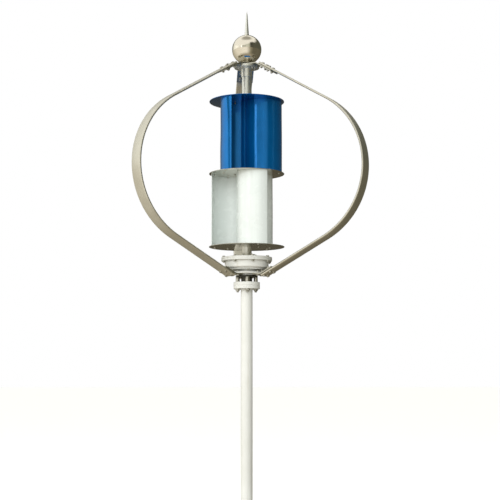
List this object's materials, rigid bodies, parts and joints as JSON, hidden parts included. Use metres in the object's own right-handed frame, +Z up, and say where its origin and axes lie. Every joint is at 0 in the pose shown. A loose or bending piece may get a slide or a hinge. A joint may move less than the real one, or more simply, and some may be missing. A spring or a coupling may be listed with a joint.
{
  "type": "small wind turbine",
  "caption": "Hybrid vertical-axis wind turbine: stacked Savonius buckets inside bowed Darrieus blades, disc generator, ball finial and flanged mast.",
  "frame": {"origin": "centre of the base plate's underside, on the mast's axis", "axes": "+Z up along the mast and the rotor's axis; one Darrieus blade points along +Y"},
  "size_m": [1.1194, 0.9709, 2.513],
  "materials": {
    "white_paint": "gloss white powder coat",
    "blue_paint": "gloss dark blue paint",
    "stage_white": "gloss white paint on sheet",
    "satin_metal": "satin stainless sheet",
    "shaft_steel": "brushed stainless tube",
    "blade_aluminium": "extruded aluminium, lengthwise grain",
    "bracket_steel": "brushed stainless plate",
    "polished_steel": "mirror polished stainless",
    "zinc_fasteners": "bright zinc plated",
    "dark_steel": "blackened steel",
    "bearing_steel": "ground bearing steel",
    "copper": "enamelled copper wire",
    "nickel": "nickel plated magnets",
    "resin": "cast resin",
    "stator_aluminium": "turned aluminium",
    "black_rubber": "matt black rubber"
  },
  "bodies": {
    "mast": {"base_plate": "white_paint", "base_gussets": "white_paint", "mast_tube": "white_paint", "mast_flange": "white_paint", "neck_flange": "white_paint", "neck_pillars": "zinc_fasteners", "neck_studs": "zinc_fasteners", "spindle_base": "dark_steel", "spindle": "dark_steel", "spindle_nut": "dark_steel", "cable_grommet": "black_rubber", "lower_bearing_inner": "bearing_steel", "upper_bearing_inner": "bearing_steel", "stator_hub": "stator_aluminium", "stator_disc": "resin", "stator_coils": "copper", "stator_screws": "zinc_fasteners"},
    "rotor": {"back_irons": "dark_steel", "blade_1": "blade_aluminium", "blade_2": "blade_aluminium", "blade_3": "blade_aluminium", "blade_bolts": "zinc_fasteners", "bottom_disc": "satin_metal", "bracket_bolts": "zinc_fasteners", "bucket_screws": "zinc_fasteners", "case_screws": "zinc_fasteners", "finial_ball": "polished_steel", "finial_bolt": "zinc_fasteners", "lower_bearing_outer": "bearing_steel", "lower_bracket_1": "bracket_steel", "lower_bracket_2": "bracket_steel", "lower_bracket_3": "bracket_steel", "lower_bucket_1": "stage_white", "lower_bucket_2": "stage_white", "lower_bucket_3": "stage_white", "lower_case": "white_paint", "lower_hub": "white_paint", "lower_seal": "black_rubber", "lower_sleeve": "stage_white", "magnets": "nickel", "middle_disc": "satin_metal", "needle": "shaft_steel", "rim_bolts": "zinc_fasteners", "rivets": "zinc_fasteners", "rotor_shaft": "shaft_steel", "shaft_flange": "shaft_steel", "sleeve_screws": "zinc_fasteners", "top_disc": "blue_paint", "top_hub": "shaft_steel", "upper_bearing_outer": "bearing_steel", "upper_bracket_1": "bracket_steel", "upper_bracket_2": "bracket_steel", "upper_bracket_3": "bracket_steel", "upper_bucket_1": "blue_paint", "upper_bucket_2": "blue_paint", "upper_bucket_3": "blue_paint", "upper_cover": "white_paint", "upper_sleeve": "blue_paint"},
    "lower_balls": {"lower_bearing_balls": "bearing_steel"},
    "upper_balls": {"upper_bearing_balls": "bearing_steel"}
  },
  "joints": [
    {"name": "rotor_spin", "type": "hinge", "parent": "mast", "child": "rotor", "pos_m": [0, 0, 1.25], "axis": [0, 0, 1], "continuous": true},
    {"name": "lower_balls_spin", "type": "hinge", "parent": "mast", "child": "lower_balls", "pos_m": [0, 0, 1.204], "axis": [0, 0, 1], "continuous": true},
    {"name": "upper_balls_spin", "type": "hinge", "parent": "mast", "child": "upper_balls", "pos_m": [0, 0, 1.271], "axis": [0, 0, 1], "continuous": true}
  ],
  "couplings": [
    {"joint": "lower_balls_spin", "follows": "rotor_spin", "ratio": 0.6},
    {"joint": "upper_balls_spin", "follows": "rotor_spin", "ratio": 0.6033}
  ]
}
